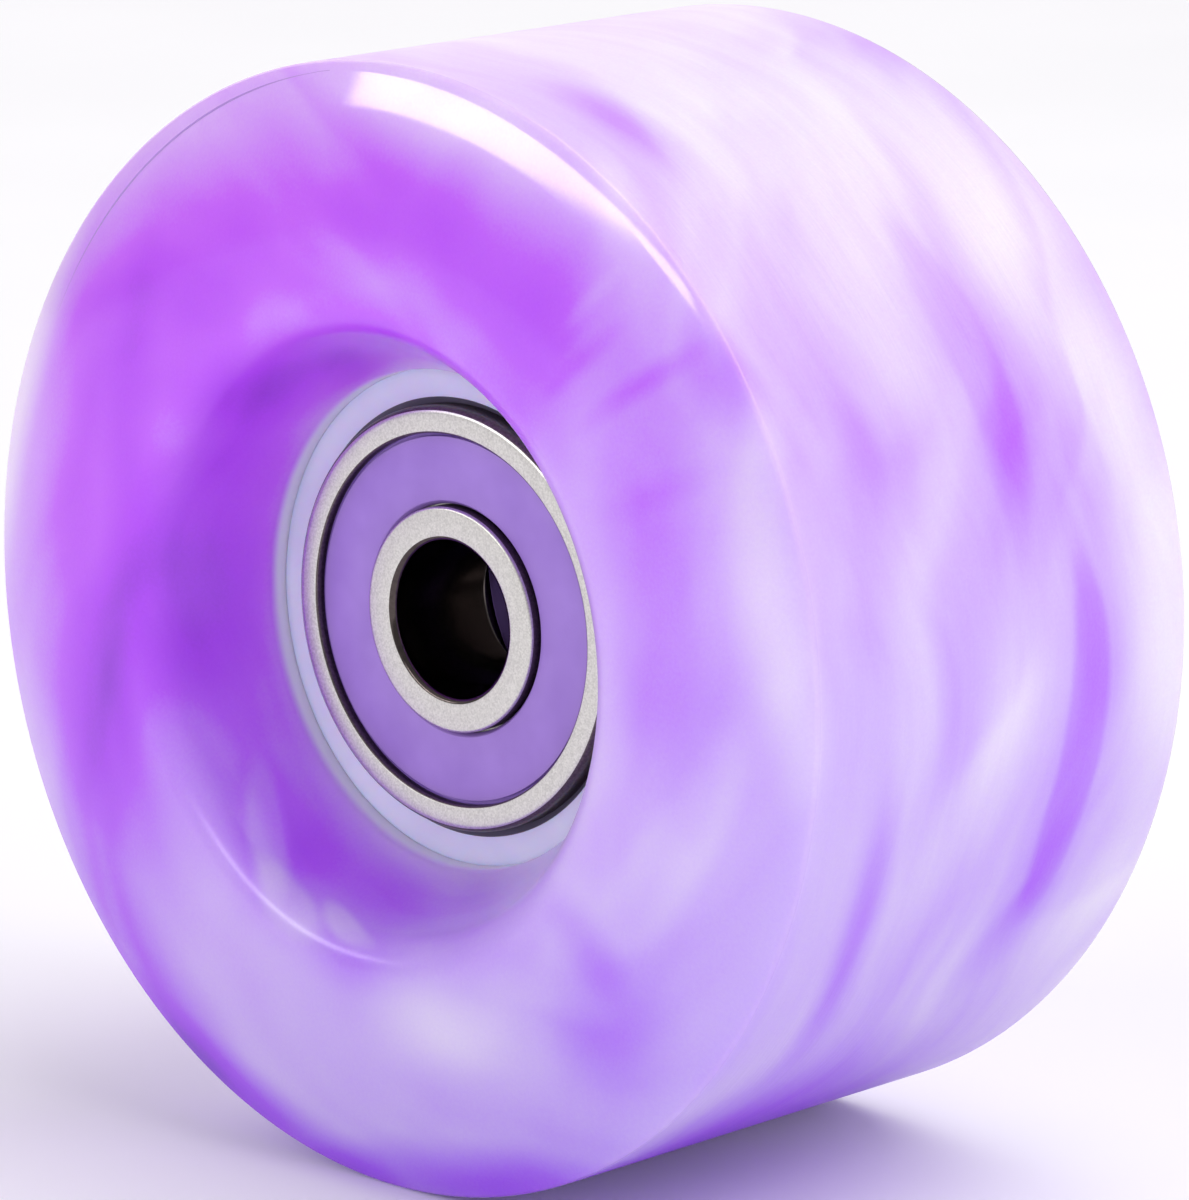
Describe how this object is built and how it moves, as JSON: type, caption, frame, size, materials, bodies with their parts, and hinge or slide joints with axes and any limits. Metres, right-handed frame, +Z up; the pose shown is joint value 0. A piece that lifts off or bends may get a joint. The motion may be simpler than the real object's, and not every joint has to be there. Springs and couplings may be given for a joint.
{
  "type": "roller skate wheel",
  "caption": "Quad roller-skate wheel with a marbled urethane tyre cast on a moulded hub, turning on sealed ball bearings with a plain through bore for the axle.",
  "frame": {"origin": "centre of the wheel, on the spin axis and midway between its two faces", "axes": "+Y along the spin axis from the front face to the rear face, +Z up, +X to the right seen from the front"},
  "size_m": [0.058, 0.032, 0.058],
  "materials": {
    "urethane": "gloss",
    "hub_nylon": "matte",
    "ring_steel": "ground",
    "ball_steel": "polished",
    "cage_nylon": "matte",
    "seal_rubber": "satin",
    "plate_steel": "satin"
  },
  "bodies": {
    "inner_rings": {"front_inner_ring": "ring_steel", "rear_inner_ring": "ring_steel"},
    "wheel": {"tyre": "urethane", "hub": "hub_nylon", "front_outer_ring": "ring_steel", "front_seal_outside": "seal_rubber", "front_plate_outside": "plate_steel", "front_seal_inside": "seal_rubber", "front_plate_inside": "plate_steel", "rear_outer_ring": "ring_steel", "rear_seal_outside": "seal_rubber", "rear_plate_outside": "plate_steel", "rear_seal_inside": "seal_rubber", "rear_plate_inside": "plate_steel"},
    "front_cage": {"front_cage": "cage_nylon"},
    "front_ball_1": {"front_ball_1": "ball_steel"},
    "front_ball_2": {"front_ball_2": "ball_steel"},
    "front_ball_3": {"front_ball_3": "ball_steel"},
    "front_ball_4": {"front_ball_4": "ball_steel"},
    "front_ball_5": {"front_ball_5": "ball_steel"},
    "front_ball_6": {"front_ball_6": "ball_steel"},
    "front_ball_7": {"front_ball_7": "ball_steel"},
    "rear_cage": {"rear_cage": "cage_nylon"},
    "rear_ball_1": {"rear_ball_1": "ball_steel"},
    "rear_ball_2": {"rear_ball_2": "ball_steel"},
    "rear_ball_3": {"rear_ball_3": "ball_steel"},
    "rear_ball_4": {"rear_ball_4": "ball_steel"},
    "rear_ball_5": {"rear_ball_5": "ball_steel"},
    "rear_ball_6": {"rear_ball_6": "ball_steel"},
    "rear_ball_7": {"rear_ball_7": "ball_steel"}
  },
  "joints": [
    {"name": "wheel_spin", "type": "hinge", "parent": "inner_rings", "child": "wheel", "pos_m": [0, 0, 0], "axis": [0, 1, 0], "continuous": true},
    {"name": "front_cage_orbit", "type": "hinge", "parent": "inner_rings", "child": "front_cage", "pos_m": [0, -0.00605, 0], "axis": [0, 1, 0], "continuous": true},
    {"name": "front_ball_1_roll", "type": "hinge", "parent": "front_cage", "child": "front_ball_1", "pos_m": [0, -0.00605, 0.0075], "axis": [0, 1, 0], "continuous": true},
    {"name": "front_ball_2_roll", "type": "hinge", "parent": "front_cage", "child": "front_ball_2", "pos_m": [-0.00586, -0.00605, 0.00468], "axis": [0, 1, 0], "continuous": true},
    {"name": "front_ball_3_roll", "type": "hinge", "parent": "front_cage", "child": "front_ball_3", "pos_m": [-0.00731, -0.00605, -0.00167], "axis": [0, 1, 0], "continuous": true},
    {"name": "front_ball_4_roll", "type": "hinge", "parent": "front_cage", "child": "front_ball_4", "pos_m": [-0.00325, -0.00605, -0.00676], "axis": [0, 1, 0], "continuous": true},
    {"name": "front_ball_5_roll", "type": "hinge", "parent": "front_cage", "child": "front_ball_5", "pos_m": [0.00325, -0.00605, -0.00676], "axis": [0, 1, 0], "continuous": true},
    {"name": "front_ball_6_roll", "type": "hinge", "parent": "front_cage", "child": "front_ball_6", "pos_m": [0.00731, -0.00605, -0.00167], "axis": [0, 1, 0], "continuous": true},
    {"name": "front_ball_7_roll", "type": "hinge", "parent": "front_cage", "child": "front_ball_7", "pos_m": [0.00586, -0.00605, 0.00468], "axis": [0, 1, 0], "continuous": true},
    {"name": "rear_cage_orbit", "type": "hinge", "parent": "inner_rings", "child": "rear_cage", "pos_m": [0, 0.00605, 0], "axis": [0, 1, 0], "continuous": true},
    {"name": "rear_ball_1_roll", "type": "hinge", "parent": "rear_cage", "child": "rear_ball_1", "pos_m": [0, 0.00605, -0.0075], "axis": [0, 1, 0], "continuous": true},
    {"name": "rear_ball_2_roll", "type": "hinge", "parent": "rear_cage", "child": "rear_ball_2", "pos_m": [-0.00586, 0.00605, -0.00468], "axis": [0, 1, 0], "continuous": true},
    {"name": "rear_ball_3_roll", "type": "hinge", "parent": "rear_cage", "child": "rear_ball_3", "pos_m": [-0.00731, 0.00605, 0.00167], "axis": [0, 1, 0], "continuous": true},
    {"name": "rear_ball_4_roll", "type": "hinge", "parent": "rear_cage", "child": "rear_ball_4", "pos_m": [-0.00325, 0.00605, 0.00676], "axis": [0, 1, 0], "continuous": true},
    {"name": "rear_ball_5_roll", "type": "hinge", "parent": "rear_cage", "child": "rear_ball_5", "pos_m": [0.00325, 0.00605, 0.00676], "axis": [0, 1, 0], "continuous": true},
    {"name": "rear_ball_6_roll", "type": "hinge", "parent": "rear_cage", "child": "rear_ball_6", "pos_m": [0.00731, 0.00605, 0.00167], "axis": [0, 1, 0], "continuous": true},
    {"name": "rear_ball_7_roll", "type": "hinge", "parent": "rear_cage", "child": "rear_ball_7", "pos_m": [0.00586, 0.00605, -0.00468], "axis": [0, 1, 0], "continuous": true}
  ],
  "couplings": [
    {"joint": "front_cage_orbit", "follows": "wheel_spin", "ratio": 0.6323},
    {"joint": "front_ball_1_roll", "follows": "wheel_spin", "ratio": 1.7573},
    {"joint": "front_ball_2_roll", "follows": "wheel_spin", "ratio": 1.7573},
    {"joint": "front_ball_3_roll", "follows": "wheel_spin", "ratio": 1.7573},
    {"joint": "front_ball_4_roll", "follows": "wheel_spin", "ratio": 1.7573},
    {"joint": "front_ball_5_roll", "follows": "wheel_spin", "ratio": 1.7573},
    {"joint": "front_ball_6_roll", "follows": "wheel_spin", "ratio": 1.7573},
    {"joint": "front_ball_7_roll", "follows": "wheel_spin", "ratio": 1.7573},
    {"joint": "rear_cage_orbit", "follows": "wheel_spin", "ratio": 0.6323},
    {"joint": "rear_ball_1_roll", "follows": "wheel_spin", "ratio": 1.7573},
    {"joint": "rear_ball_2_roll", "follows": "wheel_spin", "ratio": 1.7573},
    {"joint": "rear_ball_3_roll", "follows": "wheel_spin", "ratio": 1.7573},
    {"joint": "rear_ball_4_roll", "follows": "wheel_spin", "ratio": 1.7573},
    {"joint": "rear_ball_5_roll", "follows": "wheel_spin", "ratio": 1.7573},
    {"joint": "rear_ball_6_roll", "follows": "wheel_spin", "ratio": 1.7573},
    {"joint": "rear_ball_7_roll", "follows": "wheel_spin", "ratio": 1.7573}
  ]
}
